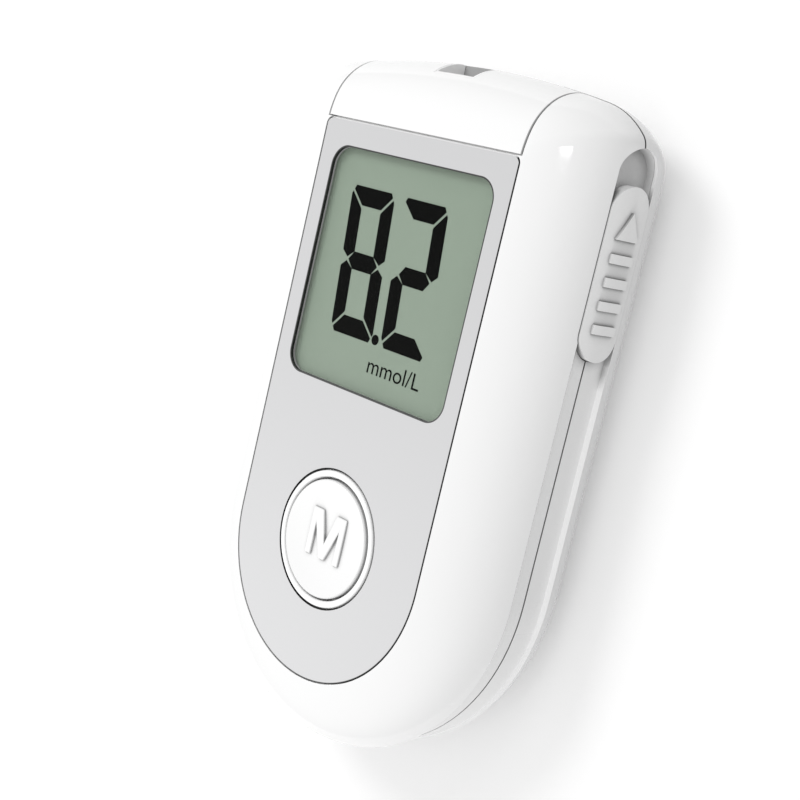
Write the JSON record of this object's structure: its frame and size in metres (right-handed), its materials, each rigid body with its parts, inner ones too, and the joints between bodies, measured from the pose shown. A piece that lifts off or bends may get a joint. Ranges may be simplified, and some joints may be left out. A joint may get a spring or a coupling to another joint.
{
  "type": "blood glucose meter",
  "caption": "Hand-held blood glucose meter with a display, a round memory button, a strip port and a side slider that ejects the strip.",
  "frame": {"origin": "middle of the footprint, on the plane of the flat back that the meter lies on", "axes": "+Z out of the display, +Y towards the test strip port, +X towards the ejector slider"},
  "size_m": [0.0537, 0.0848, 0.0178],
  "materials": {
    "white_body": "gloss moulded ABS, white",
    "grey_panel": "satin printed film, light grey",
    "white_button": "satin moulded ABS, white",
    "slider_grey": "fine moulded texture, light grey",
    "track_grey": "fine moulded texture, mid grey",
    "port_grey": "satin moulded, mid grey",
    "lens": "clear, glossy",
    "lcd": "grey-green reflective display",
    "black_tape": "matte double-sided tape",
    "grey_foam": "matte foam",
    "holder": "moulded, off-white",
    "zebra": "striped elastomer",
    "board": "glass-epoxy laminate with green solder mask",
    "chips": "moulded epoxy",
    "steel": "nickel-plated",
    "contacts": "gold-plated spring strip",
    "inner_black": "moulded",
    "carriage": "moulded acetal"
  },
  "bodies": {
    "housing": {"front_housing": "white_body", "rear_housing": "white_body", "top_cap": "white_body", "face_panel": "grey_panel", "panel_adhesive": "black_tape", "display_gasket": "grey_foam", "display_lens": "lens", "lcd_glass": "lcd", "lcd_reflector": "steel", "lcd_holder": "holder", "zebra_connector": "zebra", "button_ring": "white_button", "switch_body": "inner_black", "circuit_board": "board", "microcontroller": "chips", "chip_parts": "chips", "crystal": "steel", "buzzer": "inner_black", "strip_connector": "inner_black", "strip_contacts": "contacts", "port_insert": "port_grey", "slider_track": "track_grey", "ejector_spring": "steel", "coin_cell": "steel", "battery_contact_positive": "contacts", "battery_contact_negative": "contacts", "housing_screws": "steel", "board_screws": "steel"},
    "button": {"memory_button": "white_button", "switch_plunger": "inner_black"},
    "ejector": {"ejector_slider": "slider_grey", "ejector_carriage": "carriage"},
    "door": {"battery_door": "white_body"}
  },
  "joints": [
    {"name": "button_press", "type": "slide", "parent": "housing", "child": "button", "axis": [0, 0, -1], "range_m": [0, 0.0005], "stiffness_N_per_m": 1200},
    {"name": "ejector_slide", "type": "slide", "parent": "housing", "child": "ejector", "axis": [0, 1, 0], "range_m": [0, 0.0041], "stiffness_N_per_m": 250, "deforming": ["ejector_spring"]},
    {"name": "battery_door_hinge", "type": "hinge", "parent": "housing", "child": "door", "pos_m": [0, 0.0085, 0.0015], "axis": [1, 0, 0], "range_deg": [0, 35]}
  ]
}
